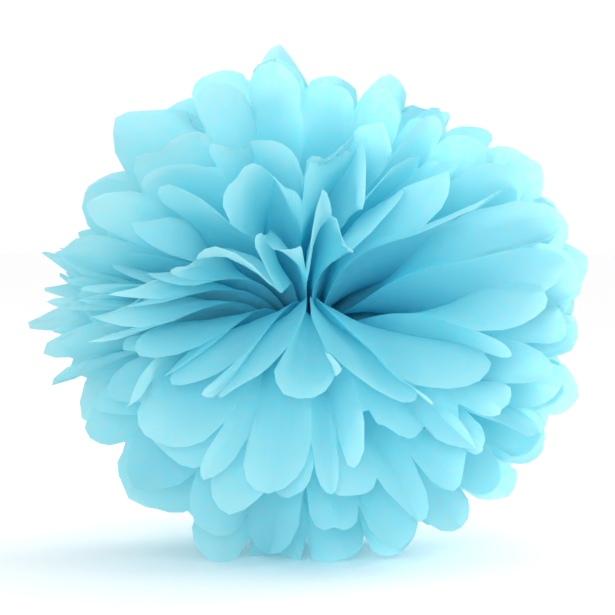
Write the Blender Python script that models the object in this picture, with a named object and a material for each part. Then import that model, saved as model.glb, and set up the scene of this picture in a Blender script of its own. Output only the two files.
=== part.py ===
"""Tissue paper pom pom: ten pleated sheets tied at the middle by one wire and pulled apart.

Metres, +Z up.  The flower axis runs along Y and faces -Y.  The folded strip ran along Z, so the
upper and the lower fans of every sheet meet along the horizontal plane through the tie.
"""
import math

import bpy
import numpy as np

# Sheets
SHEET_COUNT = 10
PANELS = 14
PANEL_WIDTH = 0.0243
STRIP_HALF = 0.125
SHEET_THICKNESS = 0.0003
TIED_THICKNESS = 0.0001
NOTCH_DEPTH = 0.013
NOTCH_POWER = 2.2

# Spread of the five front sheets from the flower axis, in degrees: at the right seam, at the top
# or bottom and at the left seam, and how steeply it rises towards the right and the left seam.
# The back five mirror them.
UPPER_SPREAD = (
    (60.0, 20.0, 38.0, 1.8, 3.0),
    (68.0, 32.0, 52.0, 1.8, 3.0),
    (75.5, 44.0, 63.0, 1.8, 3.0),
    (81.5, 57.0, 72.0, 1.8, 3.0),
    (87.0, 74.0, 82.0, 1.8, 3.0),
)
LOWER_SPREAD = (
    (54.0, 14.0, 42.0, 3.0, 4.0),
    (66.0, 31.0, 56.0, 2.6, 3.0),
    (74.0, 45.0, 65.0, 1.8, 3.0),
    (82.0, 58.0, 74.0, 1.8, 3.0),
    (87.0, 75.0, 82.0, 1.8, 3.0),
)
FLARE_DEG = (13.0, 13.0, 12.0, 9.0, 5.0)
FLARE_PART = 0.5
FLARE_POWER = 2.4
FLARED_LENGTH = 0.93
CUP_DEG = 1.5

# How far the folds may stand up
FOLD_LIMIT_DEG = 8.0
FOLD_LIMIT_PART = 0.48
FOLD_STEEPNESS = 0.50
LEAST_FOLD = 0.15

# Shares of the half circle that the panels take; those at the left stay narrow
PANEL_SPREAD = 0.20
NARROWING = 0.30
NARROW_FROM = 0.58
NARROW_TO = 0.80

# Lengths of the strip ends
UPPER_REACH = 0.91
LOWER_REACH = 0.95
LENGTH_SPREAD = 0.025

# Tied middle
BUNDLE_WIDTH = 0.0185
BUNDLE_FOLD = 0.0006
BUNDLE_PITCH = 0.00150
BUNDLE_ROUNDING = 0.35
TIE_LEAN = 0.8
BEND_RADIUS = 0.019
OPENED_START = 0.010
OPENED_RADIUS = 0.064
SEAM_GAP = 0.0008

# Shared sway of the whole flower
SWAY_HEIGHT = 0.0060
SWAY_LENGTH = 0.0115
SWAY_PHASE = 0.9

# Resting spot
REST_DEPTH = 0.1085
REST_STEPS = 6

# Wire
WIRE_RADIUS = 0.0004
WIRE_LOOP = 0.0112
WIRE_TAIL_START = 0.0006
WIRE_TAIL = 0.0060
WIRE_TWIST_RADIUS = 0.0008
WIRE_TWIST_TURNS = 2.0
WIRE_SIDES = 8
WIRE_LOOP_STEPS = 44
WIRE_TAIL_STEPS = 16

# Materials
PAPER_COLOUR = (0.25, 0.74, 0.90, 1.0)
PAPER_ROUGHNESS = 0.7
WIRE_COLOUR = (0.62, 0.63, 0.64, 1.0)
WIRE_ROUGHNESS = 0.35

# Resolution
ROOT_RADII = (0.0040, 0.0095, 0.0160, 0.0250, 0.0400)
OUTER_PARTS = (0.68,)
SEED = 41


def clear_scene():
    """Remove every object that is already there."""
    for old in list(bpy.data.objects):
        bpy.data.objects.remove(old, do_unlink=True)


def smooth(value, low, high):
    """Smooth step from 0 at low to 1 at high."""
    part = np.clip((value - low) / (high - low), 0.0, 1.0)
    return part * part * (3.0 - 2.0 * part)


def plain_material(name, colour, roughness):
    """Principled material of one colour."""
    material = bpy.data.materials.new(name)
    material.use_nodes = True
    shader = material.node_tree.nodes["Principled BSDF"]
    shader.inputs["Base Color"].default_value = colour
    shader.inputs["Roughness"].default_value = roughness
    return material


def half_layout(side):
    """Azimuths of the folds of one half, shared by all sheets."""
    rng = np.random.default_rng(SEED + side)
    middle = (np.arange(PANELS) + 0.5) / PANELS
    share = np.exp(PANEL_SPREAD * rng.standard_normal(PANELS))
    share *= 1.0 - NARROWING * smooth(middle, NARROW_FROM, NARROW_TO)
    share /= share.sum()
    return math.pi * np.concatenate([[0.0], np.cumsum(share)])


def tip_length(sheet, side, across, azimuth):
    """Distance from the tie to the rounded strip end."""
    rng = np.random.default_rng(SEED + 10 * (sheet + 1) + side)
    panel_length = 1.0 + LENGTH_SPREAD * rng.uniform(-1.0, 0.0, PANELS)
    centres = np.arange(PANELS) + 0.5
    varied = np.interp(across, centres, panel_length)
    offset = np.abs(2.0 * (across - np.floor(across)) - 1.0)
    notch = NOTCH_DEPTH * (1.0 - np.sqrt(np.clip(1.0 - offset ** NOTCH_POWER, 0.0, 1.0)))
    reach = UPPER_REACH if side else LOWER_REACH
    lift = 1.0 - (1.0 - reach) * np.sin(azimuth) ** 2
    return STRIP_HALF * varied * lift - notch


def spread_angle(sheet, side, azimuth, radius):
    """How far a sheet leans from the flower axis."""
    front = min(sheet, SHEET_COUNT - 1 - sheet)
    right, middle, left, steep_right, steep_left = (UPPER_SPREAD if side else LOWER_SPREAD)[front]
    on_right = azimuth < 0.5 * math.pi
    beside = np.where(on_right, right, left)
    steepness = np.where(on_right, steep_right, steep_left)
    angle = middle + (beside - middle) * np.abs(np.cos(azimuth)) ** steepness
    part = min(radius / (FLARED_LENGTH * STRIP_HALF), 1.0)
    flare = np.minimum(FLARE_DEG[front], FLARE_PART * angle)
    angle = np.radians(angle - flare * (1.0 - part ** FLARE_POWER))
    return angle if front == sheet else math.pi - angle


def fold_angles(sheet, side, azimuths, radius):
    """Polar angles of the folds at one radius."""
    polar = spread_angle(sheet, side, azimuths, radius)
    width = PANEL_WIDTH * smooth(radius, OPENED_START, OPENED_RADIUS)
    sideways = np.sin(polar) * np.gradient(azimuths)
    steps = np.hypot(sideways, np.gradient(polar))
    chord = radius * steps
    rise = 0.5 * np.sqrt(np.maximum(width ** 2 - chord ** 2, (LEAST_FOLD * width) ** 2))
    rise = np.minimum(rise, FOLD_STEEPNESS * (chord + BUNDLE_WIDTH / PANELS))
    limit = np.minimum(FOLD_LIMIT_PART * np.minimum(polar, math.pi - polar), math.radians(FOLD_LIMIT_DEG))
    swing = np.minimum(rise / max(radius, SHEET_THICKNESS), limit) * (sideways / steps) ** 2
    sign = np.where(np.arange(PANELS + 1) % 2 == 0, 1.0, -1.0)
    return polar + sign * swing


def sheet_surface(sheet, side, across, radius):
    """Middle surface of a sheet at strip position across and distance radius."""
    azimuths = half_layout(side)
    panel = np.clip(np.ceil(across).astype(int) - 1, 0, PANELS - 1)
    part = across - panel
    azimuth = np.interp(across, np.arange(PANELS + 1), azimuths)
    polar = np.empty_like(across)
    for index in range(across.size):
        folds = fold_angles(sheet, side, azimuths, radius[index])
        polar[index] = folds[panel[index]] * (1.0 - part[index]) + folds[panel[index] + 1] * part[index]
    facing = 1.0 if sheet < SHEET_COUNT // 2 else -1.0
    cup = math.radians(CUP_DEG) * (1.0 - (2.0 * part - 1.0) ** 2) * smooth(radius, BEND_RADIUS, STRIP_HALF)
    polar = polar + facing * cup
    way = np.stack([
        np.sin(polar) * np.cos(azimuth),
        -np.cos(polar),
        np.sin(polar) * np.sin(azimuth),
    ], axis=-1)
    opened = smooth(radius, 0.0, BEND_RADIUS)[:, None]
    upright = np.stack([TIE_LEAN * np.cos(azimuth), TIE_LEAN * way[:, 1], np.ones_like(azimuth)], axis=-1)
    upright /= np.linalg.norm(upright, axis=-1, keepdims=True)
    lead = upright * (1.0 - opened) + way * opened
    lead /= np.linalg.norm(lead, axis=-1, keepdims=True)
    root = np.zeros_like(way)
    root[:, 0] = (0.5 - across / PANELS) * BUNDLE_WIDTH
    zigzag = 1.0 - 2.0 * np.abs(np.mod(across, 2.0) - 1.0)
    root[:, 1] = (sheet - (SHEET_COUNT - 1) / 2.0) * BUNDLE_PITCH + BUNDLE_FOLD * zigzag
    root[:, 1] *= 1.0 - BUNDLE_ROUNDING * (2.0 * across / PANELS - 1.0) ** 2
    held = 1.0 - smooth(radius, 0.0, STRIP_HALF)[:, None]
    place = root * held + lead * radius[:, None]
    place[:, 2] += 0.5 * SEAM_GAP * smooth(radius, 0.0, BEND_RADIUS)
    if not side:
        place[:, 2] *= -1.0
    return place


def sway(place):
    """Sway the flower a little along its axis, but not where it rests."""
    fade = smooth(place[:, 2], -REST_DEPTH, -0.5 * REST_DEPTH)
    place[:, 2] += fade * SWAY_HEIGHT * np.sin(place[:, 1] / SWAY_LENGTH + SWAY_PHASE)
    return place


def strip_end(sheet, side, across):
    """Length of the strip end, pressed short where it rests."""
    azimuth = np.interp(across, np.arange(PANELS + 1), half_layout(side))
    ends = tip_length(sheet, side, across, azimuth)
    for _ in range(REST_STEPS):
        drop = -sheet_surface(sheet, side, across, ends)[:, 2]
        ends = ends * np.minimum(1.0, REST_DEPTH / np.maximum(drop, 0.5 * REST_DEPTH))
    return ends


def half_rows(sheet, side):
    """Rows of (strip position, radius) from the tie to the end of one half."""
    folds = np.arange(PANELS + 1, dtype=float)
    halves = np.arange(2 * PANELS + 1) / 2.0
    quarters = np.arange(4 * PANELS + 1) / 4.0
    rows = [(folds, np.full(folds.size, radius)) for radius in ROOT_RADII]
    rows += [(halves, part * strip_end(sheet, side, halves)) for part in OUTER_PARTS]
    rows.append((quarters, strip_end(sheet, side, quarters)))
    return rows


def zip_rows(first, second):
    """Triangles between two rows of (strip position, vertex)."""
    faces = []
    low = 0
    high = 0
    while low < len(first) - 1 or high < len(second) - 1:
        step_low = first[low + 1][0] if low < len(first) - 1 else math.inf
        step_high = second[high + 1][0] if high < len(second) - 1 else math.inf
        if step_low <= step_high:
            faces.append((first[low][1], first[low + 1][1], second[high][1]))
            low += 1
        else:
            faces.append((first[low][1], second[high + 1][1], second[high][1]))
            high += 1
    return faces


def middle_sheet(sheet):
    """Points and triangles of the middle surface of one sheet."""
    folds = np.arange(PANELS + 1, dtype=float)
    rows = []
    lower = half_rows(sheet, 0)
    upper = half_rows(sheet, 1)
    for across, radius in reversed(lower):
        rows.append((across, sheet_surface(sheet, 0, across, radius)))
    rows.append((folds, sheet_surface(sheet, 1, folds, np.zeros(folds.size))))
    for across, radius in upper:
        rows.append((across, sheet_surface(sheet, 1, across, radius)))
    points = sway(np.concatenate([surface for _, surface in rows]))
    numbered = []
    start = 0
    for across, _ in rows:
        numbered.append([(across[i], start + i) for i in range(across.size)])
        start += across.size
    faces = []
    for first, second in zip(numbered[:-1], numbered[1:]):
        faces.extend(zip_rows(first, second))
    return points, faces


def point_normals(points, faces):
    """Normal at every point, averaged over the triangles around it."""
    corners = np.array(faces)
    a, b, c = (points[corners[:, index]] for index in range(3))
    flat = np.cross(b - a, c - a)
    flat /= np.linalg.norm(flat, axis=-1, keepdims=True)
    normals = np.zeros_like(points)
    for index, (first, second) in enumerate(((b - a, c - a), (c - b, a - b), (a - c, b - c))):
        sizes = np.linalg.norm(first, axis=-1) * np.linalg.norm(second, axis=-1)
        angle = np.arccos(np.clip((first * second).sum(axis=-1) / sizes, -1.0, 1.0))
        np.add.at(normals, corners[:, index], flat * angle[:, None])
    return normals / np.linalg.norm(normals, axis=-1, keepdims=True)


def close_sheet(points, faces):
    """Give a middle surface its thickness, squeezed at the tie, and close it all round."""
    count = len(points)
    loose = smooth(np.linalg.norm(points, axis=-1), BEND_RADIUS, OPENED_RADIUS)
    half = 0.5 * (TIED_THICKNESS + (SHEET_THICKNESS - TIED_THICKNESS) * loose)
    offset = half[:, None] * point_normals(points, faces)
    near = points + offset
    far = points - offset
    solid = [tuple(face) for face in faces]
    solid += [(c + count, b + count, a + count) for a, b, c in faces]
    edges = set()
    for a, b, c in faces:
        edges.update([(a, b), (b, c), (c, a)])
    for a, b in sorted(edges):
        if (b, a) not in edges:
            solid.append((b, a, a + count))
            solid.append((b, a + count, b + count))
    return np.concatenate([near, far]), solid


def add_object(name, points, faces, material, smooth_shading):
    """Make a mesh object from points and faces."""
    mesh = bpy.data.meshes.new(name)
    mesh.from_pydata([tuple(point) for point in points.tolist()], [], faces)
    mesh.update()
    mesh.materials.append(material)
    if smooth_shading:
        mesh.shade_smooth()
    item = bpy.data.objects.new(name, mesh)
    bpy.context.scene.collection.objects.link(item)
    return item


def build_sheet(sheet, rise):
    """One tissue sheet, pleated, tied and fanned out."""
    points, faces = middle_sheet(sheet)
    points, faces = close_sheet(points, faces)
    points[:, 2] += rise
    name = f"sheet_{sheet + 1:02d}"
    material = plain_material(name, PAPER_COLOUR, PAPER_ROUGHNESS)
    return add_object(name, points, faces, material, False)


def wire_path():
    """Centre line of the wire: twisted tail, loop round the bundle, twisted tail."""
    turn = 2.0 * math.pi * WIRE_TWIST_TURNS
    steps = np.linspace(0.0, 1.0, WIRE_TAIL_STEPS)
    opened = math.asin(WIRE_TWIST_RADIUS / WIRE_LOOP)
    around = np.linspace(opened, 2.0 * math.pi - opened, WIRE_LOOP_STEPS)
    loop = np.stack([WIRE_LOOP * np.cos(around), WIRE_LOOP * np.sin(around), 0.0 * around], axis=-1)
    along = WIRE_LOOP + WIRE_TAIL_START + WIRE_TAIL * steps
    first = np.stack([
        along,
        WIRE_TWIST_RADIUS * np.cos(turn * steps),
        WIRE_TWIST_RADIUS * np.sin(turn * steps),
    ], axis=-1)
    second = first * np.array([1.0, -1.0, -1.0])
    return sway(np.concatenate([first[::-1], loop, second]))


def build_wire(rise):
    """The wire that ties the strip."""
    path = wire_path()
    ahead = np.gradient(path, axis=0)
    ahead /= np.linalg.norm(ahead, axis=-1, keepdims=True)
    side = np.cross(ahead[0], [0.0, 0.0, 1.0])
    rings = []
    angles = np.arange(WIRE_SIDES) * 2.0 * math.pi / WIRE_SIDES
    for point, tangent in zip(path, ahead):
        side = side - tangent * float(side @ tangent)
        side /= np.linalg.norm(side)
        other = np.cross(tangent, side)
        ring = point + WIRE_RADIUS * (np.cos(angles)[:, None] * side + np.sin(angles)[:, None] * other)
        rings.append(ring)
    points = np.concatenate(rings)
    points[:, 2] += rise
    faces = []
    last = (len(path) - 1) * WIRE_SIDES
    for ring in range(len(path) - 1):
        base = ring * WIRE_SIDES
        for corner in range(WIRE_SIDES):
            following = (corner + 1) % WIRE_SIDES
            a = base + corner
            b = base + following
            faces.append((a, b, b + WIRE_SIDES, a + WIRE_SIDES))
    faces.append(tuple(reversed(range(WIRE_SIDES))))
    faces.append(tuple(last + corner for corner in range(WIRE_SIDES)))
    material = plain_material("wire_tie", WIRE_COLOUR, WIRE_ROUGHNESS)
    material.node_tree.nodes["Principled BSDF"].inputs["Metallic"].default_value = 1.0
    return add_object("wire_tie", points, faces, material, True)


def main():
    """Build every piece."""
    clear_scene()
    for sheet in range(SHEET_COUNT):
        build_sheet(sheet, REST_DEPTH)
    build_wire(REST_DEPTH)


main()
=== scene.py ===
"""Tissue paper pom pom: pleated sheets fanned out round a wire tie, on a pale studio floor."""

import math

import bpy
import numpy as np
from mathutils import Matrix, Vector


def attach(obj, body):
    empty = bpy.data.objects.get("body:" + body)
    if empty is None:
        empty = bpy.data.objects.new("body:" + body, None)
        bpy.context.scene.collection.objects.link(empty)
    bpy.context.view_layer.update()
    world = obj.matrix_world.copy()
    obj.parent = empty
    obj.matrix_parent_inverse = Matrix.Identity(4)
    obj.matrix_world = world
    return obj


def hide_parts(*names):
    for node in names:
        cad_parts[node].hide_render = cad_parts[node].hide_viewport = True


bl_info = {
    "name": "Tissue Paper Pom Pom",
    "version": (1, 0, 0),
    "blender": (4, 5, 0),
    "location": "View3D > Sidebar > Pom Pom",
    "description": "Builds a pleated tissue paper pom pom from its packed frame",
    "category": "Object",
}

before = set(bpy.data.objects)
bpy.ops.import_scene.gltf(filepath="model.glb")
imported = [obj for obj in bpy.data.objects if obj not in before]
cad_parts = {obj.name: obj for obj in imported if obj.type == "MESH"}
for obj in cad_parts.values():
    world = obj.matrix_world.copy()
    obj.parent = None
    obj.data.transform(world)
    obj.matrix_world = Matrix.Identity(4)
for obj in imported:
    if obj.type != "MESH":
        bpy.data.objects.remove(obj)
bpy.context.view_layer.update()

SHEETS = 10
PANELS = 14
FOLDS = np.arange(PANELS + 1, dtype=float)
TIE = Vector((0.0, 0.0, 0.1085))
SEED = 41

# Spread of the five front sheets from the flower axis, in degrees: at the right seam, at the top
# or bottom and at the left seam, and how steeply it rises towards the right and the left seam.
# The sheets behind the middle mirror them.
UPPER_SPREAD = (
    (56.0, 23.0, 40.0, 1.8, 3.0),
    (67.0, 34.0, 52.0, 1.8, 3.0),
    (75.5, 44.0, 63.0, 1.8, 3.0),
    (81.5, 57.0, 72.0, 1.8, 3.0),
    (87.0, 74.0, 82.0, 1.8, 3.0),
)
LOWER_SPREAD = (
    (55.0, 6.0, 46.0, 5.0, 5.0),
    (66.0, 26.0, 56.0, 2.6, 3.0),
    (74.0, 42.0, 65.0, 1.8, 3.0),
    (82.0, 58.0, 74.0, 1.8, 3.0),
    (87.0, 75.0, 82.0, 1.8, 3.0),
)
# How far the ends of the strip flare outwards, from the front sheet to the middle one
FLARE = (13.0, 13.0, 12.0, 9.0, 5.0)
# How much wider every other panel opens, from the front sheet to the middle one
WIDE_RATIO = (2.6, 3.0, 2.5, 2.0, 1.5)

# The bundle under the wire: its width, the pitch of its sheets and the depth of their folds
BUNDLE_WIDTH = 0.015
BUNDLE_PITCH = 0.00135
BUNDLE_FOLD = 0.0013
# Distance from the tie over which a sheet turns from upright to its own spread
TURN_LENGTH = 0.019
# Distance from the tie over which the bundle's own width and depth fade out
BUNDLE_REACH = 0.125

# Least gap kept between neighbouring sheets, and the radius below which it stops widening
LAYER_GAP = 0.0013
LAYER_GAP_START = 0.004
# Widest opened panel, as the angle that it takes up on its cone
WIDEST_PANEL = 0.22
# Part of the strip length at which the opened edge is measured
EDGE_PART = 0.95
# How far the lower half passes its seam, in radians
LOWER_OVERHANG = 0.07
# How much of the usual unevenness the nearly level front half sheet has
LEVEL_LOOSENESS = 0.35
# Height, spacing and phase of the sway that all sheets share
SWAY_HEIGHT = 0.0060
SWAY_SPACING = 0.0115
SWAY_PHASE = 0.9
# Clearance between the pressed petals and the floor
FLOOR_GAP = 0.0002
# Edges sharper than this angle stay sharp, in degrees
SHARP_FOLD = 48.0
# Scale and offset of the flat paper in the UV layer
UV_SCALE = 2.0
UV_OFFSET = 0.3
# Step of the common azimuth grid, in degrees
AZIMUTH_STEP = 0.25


class PomPomSizes(bpy.types.PropertyGroup):
    """Sizes of the sheets and how far they are opened."""

    strip_half: bpy.props.FloatProperty(
        name="Half strip", description="Length of the folded strip from the tie to its end",
        default=0.125, unit="LENGTH")
    panel_width: bpy.props.FloatProperty(
        name="Panel width", description="Width of one pleat", default=0.0243, unit="LENGTH")
    notch_depth: bpy.props.FloatProperty(
        name="Notch depth", description="Depth of the cut between two rounded ends",
        default=0.013, unit="LENGTH")
    upper_reach: bpy.props.FloatProperty(
        name="Upper reach", description="Height of the upper fans as a part of the strip",
        default=0.90, subtype="FACTOR")
    lower_reach: bpy.props.FloatProperty(
        name="Lower reach", description="Depth of the lower fans as a part of the strip",
        default=0.95, subtype="FACTOR")
    rest_depth: bpy.props.FloatProperty(
        name="Rest depth", description="Height of the tie above the floor",
        default=0.1085, unit="LENGTH")
    crumple: bpy.props.FloatProperty(
        name="Crumple", description="Height of the soft crumples in the paper",
        default=0.0009, unit="LENGTH")
    columns: bpy.props.IntProperty(
        name="Columns", description="Faces across one pleat", default=8)
    rows: bpy.props.IntProperty(
        name="Rows", description="Faces from the tie to the end of the strip", default=34)


class PomPomColours(bpy.types.PropertyGroup):
    """Colours of the paper, the wire and the stage."""

    # Tips: the tissue's cyan dye with painted light, paler towards the ends of the strip
    tips: bpy.props.FloatVectorProperty(
        name="Tips", description="Colour of the tissue near the ends of the strip",
        default=(0.45, 0.77, 0.815), subtype="COLOR", size=3)
    # Paper: the dye half way along the painted ramp between heart and tips
    paper: bpy.props.FloatVectorProperty(
        name="Paper", description="Colour of the tissue half way along",
        default=(0.27, 0.80, 0.885), subtype="COLOR", size=3)
    # Heart: the tissue's cyan dye with painted shade, deeper and more saturated near the tie
    heart: bpy.props.FloatVectorProperty(
        name="Heart", description="Colour of the tissue near the tie",
        default=(0.11, 0.79, 0.93), subtype="COLOR", size=3)
    wire: bpy.props.FloatVectorProperty(
        name="Wire", description="Colour of the tie wire", default=(0.62, 0.63, 0.64),
        subtype="COLOR", size=3)
    floor: bpy.props.FloatVectorProperty(
        name="Floor", description="Colour of the floor", default=(0.98, 0.98, 0.98),
        subtype="COLOR", size=3)


def smooth(value, low, high):
    """Smooth step from 0 at low to 1 at high."""
    part = np.clip((value - low) / (high - low), 0.0, 1.0)
    return part * part * (3.0 - 2.0 * part)


def value_noise(x, y, cell, seed):
    """Smooth noise from -1 to 1 over the flat paper."""
    rng = np.random.default_rng(seed)
    size = 64
    table = rng.uniform(-1.0, 1.0, (size, size))
    gx = x / cell
    gy = y / cell
    ix = np.floor(gx).astype(int)
    iy = np.floor(gy).astype(int)
    fx = gx - ix
    fy = gy - iy
    fx = fx * fx * (3.0 - 2.0 * fx)
    fy = fy * fy * (3.0 - 2.0 * fy)
    a = table[ix % size, iy % size]
    b = table[(ix + 1) % size, iy % size]
    c = table[ix % size, (iy + 1) % size]
    d = table[(ix + 1) % size, (iy + 1) % size]
    return (a * (1 - fx) + b * fx) * (1 - fy) + (c * (1 - fx) + d * fx) * fy


# ---------------------------------------------------------------- pleats


def shared_folds(side):
    """Azimuths of the folds of one half at the tie, the same for all sheets."""
    rng = np.random.default_rng(SEED + side)
    middle = (np.arange(PANELS) + 0.5) / PANELS
    share = np.exp(0.20 * rng.standard_normal(PANELS))
    share *= 1.0 - 0.70 * smooth(middle, 0.58, 0.80)
    share /= share.sum()
    return math.pi * np.concatenate([[0.0], np.cumsum(share)])


def spread_angle(sheet, side, azimuth, part):
    """How far a sheet leans from the flower axis at one azimuth and one part of its length."""
    front = sheet if sheet < SHEETS // 2 else SHEETS - 1 - sheet
    right, middle, left, steep_right, steep_left = (UPPER_SPREAD if side else LOWER_SPREAD)[front]
    beside = np.where(azimuth < math.pi / 2, right, left)
    steep = np.where(azimuth < math.pi / 2, steep_right, steep_left)
    angle = middle + (beside - middle) * np.abs(np.cos(azimuth)) ** steep
    flare = np.minimum(FLARE[front], 0.5 * angle)
    angle = np.radians(angle - flare * (1.0 - np.clip(part, 0.0, 1.1) ** 2.4))
    return angle if front == sheet else math.pi - angle


def even_folds(sheet, side, share):
    """Azimuths that give every panel its share of the length of the opened edge."""
    azimuth = np.linspace(0.0, math.pi, 721)
    polar = spread_angle(sheet, side, azimuth, EDGE_PART)
    steps = np.hypot(np.diff(polar), np.sin(polar[1:]) * azimuth[1])
    arc = np.concatenate([[0.0], np.cumsum(steps)])
    widest = WIDEST_PANEL / arc[-1]
    for _ in range(12):
        share = np.minimum(share / share.sum(), widest)
    goal = np.concatenate([[0.0], np.cumsum(share / share.sum())]) * arc[-1]
    return np.interp(goal, arc, azimuth)


def half_fan(sheet, side):
    """Everything that shapes one half of one sheet."""
    rng = np.random.default_rng(SEED * 100 + sheet * 2 + side)
    shared = shared_folds(side)
    front = sheet if sheet < SHEETS // 2 else SHEETS - 1 - sheet
    loose = LEVEL_LOOSENESS if front == 0 and not side else 1.0
    middle = (np.arange(PANELS) + 0.5) / PANELS
    bladed = smooth(middle, 0.60, 0.80)
    fanned = 1.0 - smooth(middle, 0.10, 0.34)
    wide = np.where((np.arange(PANELS) + sheet + side) % 2 == 0, 0.5, -0.5)
    wide = wide * (1.0 - bladed) * (1.0 - 0.75 * fanned)
    uneven = 0.20 * rng.standard_normal(PANELS) * (1.0 - 0.6 * bladed)
    share = np.exp(wide * math.log(WIDE_RATIO[front]) + uneven)
    share *= (1.0 - (0.25 + 0.07 * front) * bladed) * (1.0 + 0.5 * fanned)
    start = 0.0 if side else -LOWER_OVERHANG
    opened = start + (math.pi - 2.0 * start) * even_folds(sheet, side, share) / math.pi
    own = (opened - shared) * (1.0 - smooth(FOLDS / PANELS, 0.62, 0.80))
    if not side:
        own[-1] = -start
    fan = {
        "sheet": sheet,
        "side": side,
        "shared": shared,
        "own": own,
        "lean": rng.standard_normal(PANELS + 1) * math.radians(2.0) * loose,
        "length": 1.0 + rng.uniform(-0.09, 0.0, PANELS) * (1.0 + 1.2 * bladed),
        "cup": np.radians(rng.uniform(-1.5, 3.5, PANELS)),
        "crease": np.radians(rng.normal(0.0, 2.0, PANELS)),
        "crease_at": rng.uniform(0.3, 0.7, PANELS),
        "curl": np.radians(rng.normal(-1.0, 6.5, PANELS)) * loose,
        "twist": np.radians(rng.normal(0.0, 4.0, PANELS)) * loose,
        "notch": rng.uniform(0.7, 1.25, PANELS + 1) * (1.0 + 1.3 * smooth(FOLDS / PANELS, 0.60, 0.85)),
        "round": rng.uniform(1.8, 2.6, PANELS) - 0.9 * bladed - 0.6 * (rng.random(PANELS) > 0.85),
        "skew": rng.uniform(-0.12, 0.12, PANELS),
        "facing": 1.0 if sheet < SHEETS // 2 else -1.0,
    }
    return fan


def fold_table(fan, radii, sizes):
    """Azimuth and polar angle of every fold at every radius."""
    drift = smooth(radii, 0.22 * sizes.strip_half, 0.75 * sizes.strip_half)[:, None]
    azimuth = fan["shared"][None, :] + fan["own"][None, :] * drift
    part = radii[:, None] / (0.93 * sizes.strip_half)
    polar = spread_angle(fan["sheet"], fan["side"], np.clip(azimuth, 0.0, math.pi), part)
    polar = polar + fan["lean"][None, :] * drift
    width = sizes.panel_width * smooth(radii, 0.002, 0.028)[:, None]
    level = 0.5 * (polar[:, 1:] + polar[:, :-1])
    chord = radii[:, None] * np.sin(level) * np.diff(azimuth, axis=1)
    slack = np.sqrt(np.maximum(width ** 2 - chord ** 2, (0.15 * width) ** 2))
    weight = chord + 0.02
    before = np.pad(slack * weight, ((0, 0), (1, 0))) + np.pad(slack * weight, ((0, 0), (0, 1)))
    total = np.pad(weight, ((0, 0), (1, 0))) + np.pad(weight, ((0, 0), (0, 1)))
    rise = 0.5 * before / total
    steepest = np.radians(36.0 - 18.0 * smooth(radii, 0.025, 0.085))[:, None]
    limit = np.minimum(0.80 * np.minimum(polar, math.pi - polar) + math.radians(1.0), steepest)
    swing = np.minimum(rise / np.maximum(radii, 0.001)[:, None], limit)
    sign = np.where(np.arange(PANELS + 1) % 2 == 0, 1.0, -1.0)
    return azimuth, polar + sign[None, :] * swing


def fan_angles(fan, across, radius, sizes):
    """Azimuth and polar angle of points at strip positions and radii (rows by columns)."""
    radii = np.linspace(0.0, sizes.strip_half * 1.05, 80)
    azimuths, polars = fold_table(fan, radii, sizes)
    panel = np.clip(np.floor(across - 1e-9).astype(int), 0, PANELS - 1)
    part = across - panel
    azimuth = np.empty_like(radius)
    polar = np.empty_like(radius)
    for column in range(across.size):
        low = panel[column]
        t = part[column]
        rad = radius[:, column]
        a0 = np.interp(rad, radii, azimuths[:, low])
        a1 = np.interp(rad, radii, azimuths[:, low + 1])
        p0 = np.interp(rad, radii, polars[:, low])
        p1 = np.interp(rad, radii, polars[:, low + 1])
        azimuth[:, column] = a0 * (1 - t) + a1 * t
        polar[:, column] = p0 * (1 - t) + p1 * t
    span = sizes.strip_half
    bulge = (1.0 - (2.0 * part - 1.0) ** 2)[None, :] * fan["cup"][panel][None, :]
    peak = fan["crease_at"][panel]
    ridge = np.minimum(part / peak, (1.0 - part) / (1.0 - peak)) * fan["crease"][panel]
    bulge = (bulge + ridge[None, :]) * smooth(radius, 0.03, span)
    tip = smooth(radius, 0.62 * span, 1.02 * span) ** 1.4
    centres = np.arange(PANELS) + 0.5
    curl = np.interp(across, centres, fan["curl"])[None, :] * tip
    twist = fan["twist"][panel][None, :] * (part - 0.5)[None, :] * tip * 2.0
    return azimuth, polar + fan["facing"] * (bulge + curl + twist)


def strip_end(fan, across, sizes):
    """Distance from the tie to the rounded end of the strip."""
    panel = np.clip(np.floor(across - 1e-9).astype(int), 0, PANELS - 1)
    part = across - panel
    centres = np.arange(PANELS) + 0.5
    length = np.interp(across, centres, fan["length"])
    bent = np.clip(part + fan["skew"][panel] * 4.0 * part * (1.0 - part), 0.0, 1.0)
    offset = np.abs(2.0 * bent - 1.0)
    depth = sizes.notch_depth * np.interp(across, FOLDS, fan["notch"])
    notch = depth * (1.0 - np.sqrt(np.clip(1.0 - offset ** fan["round"][panel], 0.0, 1.0)))
    azimuth = np.interp(across, FOLDS, fan["shared"])
    reach = sizes.upper_reach if fan["side"] else sizes.lower_reach
    lift = 1.0 - (1.0 - reach) * np.sin(azimuth) ** 2
    return sizes.strip_half * length * lift - notch


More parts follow.
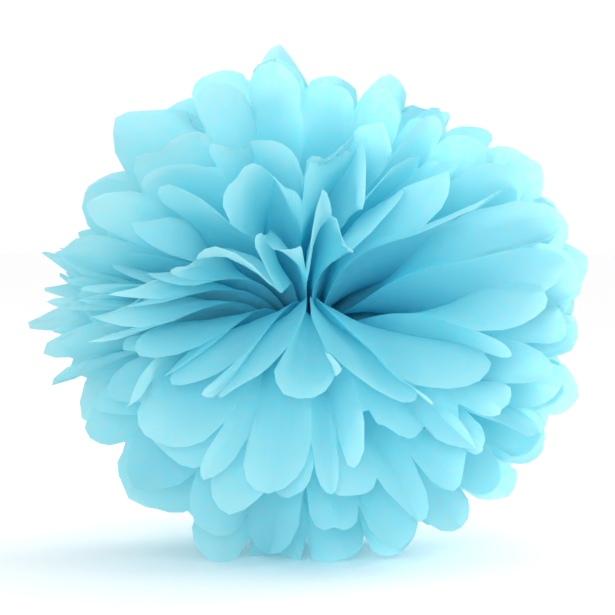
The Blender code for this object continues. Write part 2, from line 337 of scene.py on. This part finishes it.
def place_points(fan, across, radius, azimuth, polar):
    """Positions about the tie of points given by azimuth, polar angle and radius."""
    way = np.stack([
        np.sin(polar) * np.cos(azimuth),
        -np.cos(polar),
        np.sin(polar) * np.sin(azimuth),
    ], axis=-1)
    opened = smooth(radius, 0.0, TURN_LENGTH)[..., None]
    lean = 0.8 + 2.4 * np.abs(np.cos(azimuth)) ** 6
    upright = np.stack([lean * np.cos(azimuth), 0.8 * way[..., 1], np.ones_like(azimuth)], axis=-1)
    upright /= np.linalg.norm(upright, axis=-1, keepdims=True)
    lead = upright * (1.0 - opened) + way * opened
    lead /= np.linalg.norm(lead, axis=-1, keepdims=True)
    root = np.zeros_like(way)
    root[..., 0] = (0.5 - across / PANELS)[None, :] * BUNDLE_WIDTH
    zigzag = 1.0 - 2.0 * np.abs(np.mod(across, 2.0) - 1.0)
    depth = (fan["sheet"] - (SHEETS - 1) / 2.0) * BUNDLE_PITCH + BUNDLE_FOLD * zigzag
    root[..., 1] = (depth * (1.0 - 0.35 * (2.0 * across / PANELS - 1.0) ** 2))[None, :]
    held = 1.0 - smooth(radius, 0.0, BUNDLE_REACH)[..., None]
    place = root * held + lead * radius[..., None]
    if not fan["side"]:
        place[..., 2] *= -1.0
    return place


def pressed_end(fan, across, sizes):
    """Strip end of a lower half, shortened where it is pressed on the floor."""
    ends = strip_end(fan, across, sizes)
    if fan["side"]:
        return ends
    for _ in range(8):
        radius = ends[None, :]
        azimuth, polar = fan_angles(fan, across, radius, sizes)
        drop = -place_points(fan, across, radius, azimuth, polar)[0, :, 2]
        ends = ends * np.minimum(1.0, sizes.rest_depth / np.maximum(drop, 0.05))
    return ends


def sway(place, sizes):
    """The sideways sway that all sheets share."""
    fade = smooth(place[..., 2], -sizes.rest_depth, -0.5 * sizes.rest_depth)
    place[..., 2] += fade * SWAY_HEIGHT * np.sin(place[..., 1] / SWAY_SPACING + SWAY_PHASE)
    return place


# ---------------------------------------------------------------- layering

GRID_AZIMUTHS = np.radians(np.arange(-200, 920) * AZIMUTH_STEP)
GRID_RADII = np.linspace(0.0, 0.131, 56)


def angle_map(fan, sizes):
    """Polar angle of a half sheet over a common grid of radius and azimuth, where it exists."""
    across = np.linspace(0.0, PANELS, PANELS * 16 + 1)
    radius = np.repeat(GRID_RADII[:, None], across.size, axis=1)
    azimuth, polar = fan_angles(fan, across, radius, sizes)
    grid = np.full((GRID_RADII.size, GRID_AZIMUTHS.size), np.nan)
    for row in range(GRID_RADII.size):
        order = np.maximum.accumulate(azimuth[row])
        values = np.interp(GRID_AZIMUTHS, order, polar[row], left=np.nan, right=np.nan)
        grid[row] = values
    return grid


def layer_order():
    """Half sheets from the front to the back."""
    order = []
    for sheet in range(SHEETS):
        order.append((sheet, 0))
        order.append((sheet, 1))
    return order


def layered_corrections(fans, sizes):
    """How far each half sheet has to give way so that none passes through another."""
    maps = {}
    for key, fan in fans.items():
        maps[key] = angle_map(fan, sizes)
    full = {}
    columns = int(round(360 / AZIMUTH_STEP))
    angles = np.radians(np.arange(columns) * AZIMUTH_STEP)
    for (sheet, side), grid in maps.items():
        circle = np.full((GRID_RADII.size, columns), np.nan)
        for row in range(GRID_RADII.size):
            for shift in (-2.0 * math.pi, 0.0, 2.0 * math.pi):
                local = angles + shift if side else shift - angles
                values = np.interp(local, GRID_AZIMUTHS, grid[row], left=np.nan, right=np.nan)
                circle[row] = np.where(np.isnan(values), circle[row], values)
        full[(sheet, side)] = circle
    margin = (LAYER_GAP / np.maximum(GRID_RADII, LAYER_GAP_START))[:, None]
    fixed = {}
    middle = SHEETS // 2
    front = [key for key in layer_order() if key[0] < middle][::-1]
    back = [key for key in layer_order() if key[0] >= middle]
    wall = None
    for key in front:
        circle = full[key].copy()
        if wall is not None:
            limit = wall - margin
            circle = np.where(np.isnan(limit), circle, np.minimum(circle, limit))
        fixed[key] = circle
        wall = circle if wall is None else np.where(np.isnan(circle), wall, circle)
    wall = None
    for key in front:
        wall = fixed[key] if wall is None else np.where(np.isnan(wall), fixed[key], wall)
    for key in back:
        limit = wall + margin
        circle = np.where(np.isnan(limit), full[key], np.maximum(full[key], limit))
        fixed[key] = circle
        wall = np.where(np.isnan(circle), wall, circle)
    return {key: np.nan_to_num(fixed[key] - full[key]) for key in full}


def soften(grid):
    """Take the hard corners off a correction map."""
    for _ in range(2):
        grid = (np.roll(grid, 1, axis=1) + 2.0 * grid + np.roll(grid, -1, axis=1)) / 4.0
    return grid


def look_up(grid, radius, azimuth, side):
    """Read a correction map at points of a half sheet."""
    columns = grid.shape[1]
    turn = azimuth if side else -azimuth
    column = np.mod(turn / (2.0 * math.pi) * columns, columns)
    low = np.floor(column).astype(int) % columns
    high = (low + 1) % columns
    across = column - np.floor(column)
    row = np.clip(radius / GRID_RADII[-1] * (GRID_RADII.size - 1), 0.0, GRID_RADII.size - 1.001)
    below = np.floor(row).astype(int)
    along = row - below
    first = grid[below, low] * (1 - across) + grid[below, high] * across
    second = grid[below + 1, low] * (1 - across) + grid[below + 1, high] * across
    return first * (1 - along) + second * along


# ---------------------------------------------------------------- sheets


def sheet_columns(sizes):
    """Strip positions of the columns, closer together near the folds."""
    step = np.linspace(0.0, 1.0, sizes.columns + 1)[:-1]
    step = step - 0.05 * np.sin(2.0 * math.pi * step)
    return np.concatenate([(FOLDS[:-1, None] + step[None, :]).ravel(), [float(PANELS)]])


def half_surface(fan, correction, sizes):
    """Points of a half sheet, with the flat paper position of each."""
    across = sheet_columns(sizes)
    ends = pressed_end(fan, across, sizes)
    parts = np.linspace(0.0, 1.0, sizes.rows + 1) ** 0.85
    radius = parts[:, None] * ends[None, :]
    azimuth, polar = fan_angles(fan, across, radius, sizes)
    polar = polar + look_up(correction, radius, azimuth, fan["side"])
    place = place_points(fan, across, radius, azimuth, polar)
    flat = np.stack([
        np.repeat(across[None, :] * sizes.panel_width, radius.shape[0], axis=0),
        radius if fan["side"] else -radius,
    ], axis=-1)
    return place, flat


def crumpled(points, flat, sheet, sizes):
    """Push the surface in and out by soft crumples."""
    along = np.gradient(points, axis=0)
    sideways = np.gradient(points, axis=1)
    normal = np.cross(along, sideways)
    normal /= np.maximum(np.linalg.norm(normal, axis=-1, keepdims=True), 1e-12)
    x = flat[..., 0]
    y = flat[..., 1]
    seed = SEED * 7 + sheet * 5
    broad = value_noise(x, y * 0.7, 0.016, seed)
    ridged = 1.0 - 2.0 * np.abs(value_noise(x, y * 0.8, 0.010, seed + 1))
    fine = value_noise(x, y, 0.0045, seed + 2)
    rays = 1.0 - 2.0 * np.abs(value_noise(x * 3.0, y * 0.35, 0.010, seed + 3))
    height = 0.50 * broad + 0.30 * ridged + 0.20 * fine + 0.45 * rays
    reach = smooth(np.abs(y), 0.02, 0.08)
    return points + normal * (height * reach * sizes.crumple)[..., None]


def sheet_mesh(name, sheet, fans, corrections, sizes):
    """Mesh of one whole sheet, lower and upper half joined at the tie, and its flat cut area."""
    upper, upper_flat = half_surface(fans[(sheet, 1)], corrections[(sheet, 1)], sizes)
    lower, lower_flat = half_surface(fans[(sheet, 0)], corrections[(sheet, 0)], sizes)
    points = np.concatenate([lower[::-1], upper[1:]], axis=0)
    flat = np.concatenate([lower_flat[::-1], upper_flat[1:]], axis=0)
    points = sway(points, sizes)
    points = crumpled(points, flat, sheet, sizes)
    points[..., 2] = np.maximum(points[..., 2], -sizes.rest_depth + FLOOR_GAP)
    points = points + np.array(TIE)
    rows, columns, _ = points.shape
    index = np.arange(rows * columns).reshape(rows, columns)
    faces = np.stack([index[:-1, :-1], index[:-1, 1:], index[1:, 1:], index[1:, :-1]], axis=-1)
    mesh = bpy.data.meshes.new(name)
    mesh.from_pydata(points.reshape(-1, 3).tolist(), [], faces.reshape(-1, 4).tolist())
    mesh.update()
    layer = mesh.uv_layers.new(name="Paper")
    corner = faces.reshape(-1)
    uv = flat.reshape(-1, 2)[corner] * UV_SCALE + UV_OFFSET
    layer.data.foreach_set("uv", uv.astype(np.float32).ravel())
    mesh.shade_smooth()
    mesh.set_sharp_from_angle(angle=math.radians(SHARP_FOLD))
    widths = np.diff(flat[..., 0], axis=1)
    heights = np.diff(flat[..., 1], axis=0)
    mean_height = 0.5 * (heights[:, 1:] + heights[:, :-1])
    mean_width = 0.5 * (widths[1:] + widths[:-1])
    return mesh, float((mean_height * mean_width).sum())


# ---------------------------------------------------------------- materials


def new_group(name, inputs, outputs):
    """Empty shader node group with named sockets."""
    group = bpy.data.node_groups.new(name, "ShaderNodeTree")
    for label, kind, value in inputs:
        socket = group.interface.new_socket(name=label, in_out="INPUT", socket_type=kind)
        if value is not None:
            socket.default_value = value
    for label, kind in outputs:
        group.interface.new_socket(name=label, in_out="OUTPUT", socket_type=kind)
    return group


def add_node(tree, kind, place, **values):
    """Add a node at a place in the editor and set its properties."""
    node = tree.nodes.new(kind)
    node.location = place
    for key, value in values.items():
        setattr(node, key, value)
    return node


def fibre_group():
    """Cloudy mottling and fine fibres of thin paper."""
    group = new_group(
        "Paper Fibre",
        [("Vector", "NodeSocketVector", None), ("Cloud Scale", "NodeSocketFloat", 260.0),
         ("Fibre Scale", "NodeSocketFloat", 1500.0)],
        [("Cloud", "NodeSocketFloat"), ("Fibre", "NodeSocketFloat")])
    source = add_node(group, "NodeGroupInput", (-600, 0))
    sink = add_node(group, "NodeGroupOutput", (400, 0))
    cloud = add_node(group, "ShaderNodeTexNoise", (-300, 150))
    cloud.inputs["Detail"].default_value = 4.0
    cloud.inputs["Roughness"].default_value = 0.6
    fibre = add_node(group, "ShaderNodeTexNoise", (-300, -150))
    fibre.inputs["Detail"].default_value = 3.0
    fibre.inputs["Distortion"].default_value = 1.2
    link = group.links.new
    link(source.outputs["Vector"], cloud.inputs["Vector"])
    link(source.outputs["Vector"], fibre.inputs["Vector"])
    link(source.outputs["Cloud Scale"], cloud.inputs["Scale"])
    link(source.outputs["Fibre Scale"], fibre.inputs["Scale"])
    link(cloud.outputs["Fac"], sink.inputs["Cloud"])
    link(fibre.outputs["Fac"], sink.inputs["Fibre"])
    return group


def colour_ramp(tree, place, colours, gain):
    """Colours of the dye with painted shade and light: deeper and more saturated near the tie, paler
    towards the ends of the strip.
    """
    node = add_node(tree, "ShaderNodeValToRGB", place)
    ramp = node.color_ramp
    ramp.elements.new(0.5)
    for element, colour in zip(ramp.elements, (colours.heart, colours.paper, colours.tips)):
        element.color = tuple(min(1.0, channel * gain) for channel in colour) + (1.0,)
    return node


def tissue_material(colours):
    """Thin dyed tissue with painted shade near the tie and painted light at the tips: matt, mottled
    and translucent.
    """
    material = bpy.data.materials.new("tissue")
    material.use_nodes = True
    tree = material.node_tree
    tree.nodes.clear()
    link = tree.links.new
    coordinates = add_node(tree, "ShaderNodeTexCoord", (-1500, 0))
    fibre = add_node(tree, "ShaderNodeGroup", (-1200, -200), node_tree=fibre_group())
    link(coordinates.outputs["Object"], fibre.inputs["Vector"])
    away = add_node(tree, "ShaderNodeVectorMath", (-1300, 200), operation="DISTANCE")
    away.inputs[1].default_value = TIE
    link(coordinates.outputs["Object"], away.inputs[0])
    # The distance from the tie sets the place on the ramp: painted shade near the tie, painted light
    # towards the tips
    reach = add_node(tree, "ShaderNodeMapRange", (-1100, 200))
    reach.inputs["From Min"].default_value = 0.012
    reach.inputs["From Max"].default_value = 0.122
    link(away.outputs["Value"], reach.inputs["Value"])
    mottle = add_node(tree, "ShaderNodeMapRange", (-900, 0))
    mottle.inputs["From Min"].default_value = 0.25
    mottle.inputs["From Max"].default_value = 0.75
    mottle.inputs["To Min"].default_value = -0.18
    mottle.inputs["To Max"].default_value = 0.18
    link(fibre.outputs["Cloud"], mottle.inputs["Value"])
    shade = add_node(tree, "ShaderNodeMath", (-800, 200), operation="ADD", use_clamp=True)
    link(reach.outputs["Result"], shade.inputs[0])
    link(mottle.outputs["Result"], shade.inputs[1])
    # Base colour: the cyan dye with painted shade near the tie and painted light at the tips
    dye_painted_shade_and_light = colour_ramp(tree, (-600, 200), colours, 1.0)
    link(shade.outputs["Value"], dye_painted_shade_and_light.inputs["Fac"])
    # Translucent colour: the same dye with the same painted shade and light, a little brighter
    translucent_dye_painted_shade_and_light = colour_ramp(tree, (-600, -100), colours, 1.04)
    link(shade.outputs["Value"], translucent_dye_painted_shade_and_light.inputs["Fac"])
    bump = add_node(tree, "ShaderNodeBump", (-600, -400))
    bump.inputs["Strength"].default_value = 0.5
    bump.inputs["Distance"].default_value = 0.0004
    link(fibre.outputs["Fibre"], bump.inputs["Height"])
    skin = add_node(tree, "ShaderNodeBsdfPrincipled", (-200, 200))
    skin.inputs["Roughness"].default_value = 0.62
    skin.inputs["Specular IOR Level"].default_value = 0.22
    link(dye_painted_shade_and_light.outputs["Color"], skin.inputs["Base Color"])
    link(bump.outputs["Normal"], skin.inputs["Normal"])
    through = add_node(tree, "ShaderNodeBsdfTranslucent", (-200, -100))
    link(translucent_dye_painted_shade_and_light.outputs["Color"], through.inputs["Color"])
    mix = add_node(tree, "ShaderNodeMixShader", (100, 100))
    mix.inputs["Fac"].default_value = 0.64
    link(skin.outputs["BSDF"], mix.inputs[1])
    link(through.outputs["BSDF"], mix.inputs[2])
    out = add_node(tree, "ShaderNodeOutputMaterial", (300, 100))
    link(mix.outputs["Shader"], out.inputs["Surface"])
    return material


def wire_material(colours):
    """Drawn steel wire with faint noise in its tone and roughness."""
    material = bpy.data.materials.new("tie_wire")
    material.use_nodes = True
    tree = material.node_tree
    skin = tree.nodes["Principled BSDF"]
    skin.inputs["Metallic"].default_value = 1.0
    coordinates = add_node(tree, "ShaderNodeTexCoord", (-900, 0))
    noise = add_node(tree, "ShaderNodeTexNoise", (-700, 0))
    noise.inputs["Scale"].default_value = 900.0
    noise.inputs["Detail"].default_value = 4.0
    rough = add_node(tree, "ShaderNodeMapRange", (-400, -100))
    rough.inputs["To Min"].default_value = 0.28
    rough.inputs["To Max"].default_value = 0.5
    tone = add_node(tree, "ShaderNodeValToRGB", (-400, 200))
    tone.color_ramp.elements[0].color = tuple(c * 0.8 for c in colours.wire) + (1.0,)
    tone.color_ramp.elements[1].color = tuple(colours.wire) + (1.0,)
    link = tree.links.new
    link(coordinates.outputs["Object"], noise.inputs["Vector"])
    link(noise.outputs["Fac"], rough.inputs["Value"])
    link(noise.outputs["Fac"], tone.inputs["Fac"])
    link(tone.outputs["Color"], skin.inputs["Base Color"])
    link(rough.outputs["Result"], skin.inputs["Roughness"])
    return material


def floor_material(colours):
    """Seamless white paper."""
    material = bpy.data.materials.new("floor")
    material.use_nodes = True
    tree = material.node_tree
    skin = tree.nodes["Principled BSDF"]
    skin.inputs["Roughness"].default_value = 0.9
    skin.inputs["Specular IOR Level"].default_value = 0.1
    skin.inputs["Base Color"].default_value = tuple(colours.floor) + (1.0,)
    return material


# ---------------------------------------------------------------- operators

FLOOR_HALF = 4.0
# Name, place, size and power of each studio light
LIGHTS = (
    ("key", (-0.15, -1.4, 0.3), 0.5, 9.0),
    ("fill", (1.2, -0.6, 0.35), 0.7, 4.0),
    ("rim", (0.9, 0.8, 0.4), 0.6, 9.0),
)
# Camera: height it aims at, angle above level in degrees, distance, and width taken in there
VIEW_HEIGHT = 0.1065
VIEW_LIFT = 3.0
VIEW_DISTANCE = 1.15
VIEW_WIDTH = 0.2674


class POMPOM_OT_sheets(bpy.types.Operator):
    """Pleat, tie and fan out the tissue sheets"""

    bl_idname = "pompom.sheets"
    bl_label = "Tissue Sheets"

    def execute(self, context):
        sizes = context.scene.pompom_sizes
        fans = {}
        for sheet in range(SHEETS):
            for side in (0, 1):
                fans[(sheet, side)] = half_fan(sheet, side)
        corrections = layered_corrections(fans, sizes)
        corrections = {key: soften(grid) for key, grid in corrections.items()}
        material = tissue_material(context.scene.pompom_colours)
        for sheet in range(SHEETS):
            name = f"tissue_{sheet + 1:02d}"
            mesh, cut_area = sheet_mesh(name, sheet, fans, corrections, sizes)
            mesh.materials.append(material)
            piece = bpy.data.objects.new(name, mesh)
            context.scene.collection.objects.link(piece)
            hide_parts(f"sheet_{sheet + 1:02d}")
            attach(piece, "root")
        return {"FINISHED"}


class POMPOM_OT_wire(bpy.types.Operator):
    """Give the tie wire its drawn steel finish"""

    bl_idname = "pompom.wire"
    bl_label = "Tie Wire"

    def execute(self, context):
        wire = bpy.data.objects.get("wire_tie")
        if wire is None:
            raise RuntimeError("the wire tie is missing from the frame")
        material = wire_material(context.scene.pompom_colours)
        wire.material_slots[0].material = material
        return {"FINISHED"}


def add_light(context, name, place, size, energy):
    """Square soft light that points at the tie."""
    light = bpy.data.lights.new(name, "AREA")
    light.size = size
    light.energy = energy
    item = bpy.data.objects.new(name, light)
    context.scene.collection.objects.link(item)
    item.location = place
    item.rotation_euler = (TIE - Vector(place)).to_track_quat("-Z", "Y").to_euler()
    return item


class POMPOM_OT_stage(bpy.types.Operator):
    """Set the floor, the lights and the camera"""

    bl_idname = "pompom.stage"
    bl_label = "Stage"

    def execute(self, context):
        scene = context.scene
        mesh = bpy.data.meshes.new("floor")
        half = FLOOR_HALF
        corners = [(-half, -half, 0), (half, -half, 0), (half, half, 0), (-half, half, 0)]
        mesh.from_pydata(corners, [], [(0, 1, 2, 3)])
        mesh.materials.append(floor_material(scene.pompom_colours))
        floor = bpy.data.objects.new("floor", mesh)
        scene.collection.objects.link(floor)
        world = bpy.data.worlds.new("studio")
        world.use_nodes = True
        background = world.node_tree.nodes["Background"]
        background.inputs["Color"].default_value = (1.0, 1.0, 1.0, 1.0)
        background.inputs["Strength"].default_value = 1.0
        scene.world = world
        for name, place, size, energy in LIGHTS:
            add_light(context, name, place, size, energy)
        scene.view_settings.view_transform = "Standard"
        camera = bpy.data.cameras.new("camera")
        view = bpy.data.objects.new("camera", camera)
        scene.collection.objects.link(view)
        aim = Vector((0.0, 0.0, VIEW_HEIGHT))
        lift = math.radians(VIEW_LIFT)
        view.location = aim + Vector((0.0, -math.cos(lift), math.sin(lift))) * VIEW_DISTANCE
        view.rotation_euler = (aim - view.location).to_track_quat("-Z", "Y").to_euler()
        camera.lens = camera.sensor_width * VIEW_DISTANCE / VIEW_WIDTH
        scene.camera = view
        return {"FINISHED"}


class POMPOM_PT_panel(bpy.types.Panel):
    """Sidebar panel of the pom pom"""

    bl_idname = "POMPOM_PT_panel"
    bl_label = "Tissue Paper Pom Pom"
    bl_space_type = "VIEW_3D"
    bl_region_type = "UI"
    bl_category = "Pom Pom"

    def draw(self, context):
        layout = self.layout
        for group in (context.scene.pompom_sizes, context.scene.pompom_colours):
            box = layout.box()
            for name in group.__annotations__:
                box.prop(group, name)
        for name in ("pompom.sheets", "pompom.wire", "pompom.stage"):
            layout.operator(name)


CLASSES = (
    PomPomSizes, PomPomColours, POMPOM_OT_sheets, POMPOM_OT_wire, POMPOM_OT_stage, POMPOM_PT_panel,
)


def register():
    """Register the classes and the scene's settings."""
    for item in CLASSES:
        bpy.utils.register_class(item)
    bpy.types.Scene.pompom_sizes = bpy.props.PointerProperty(type=PomPomSizes)
    bpy.types.Scene.pompom_colours = bpy.props.PointerProperty(type=PomPomColours)


def unregister():
    """Take the settings and the classes away."""
    del bpy.types.Scene.pompom_colours
    del bpy.types.Scene.pompom_sizes
    for item in reversed(CLASSES):
        bpy.utils.unregister_class(item)


def main():
    """Build the pom pom and its stage."""
    register()
    bpy.ops.pompom.sheets()
    bpy.ops.pompom.wire()
    bpy.ops.pompom.stage()


if __name__ == "__main__":
    main()
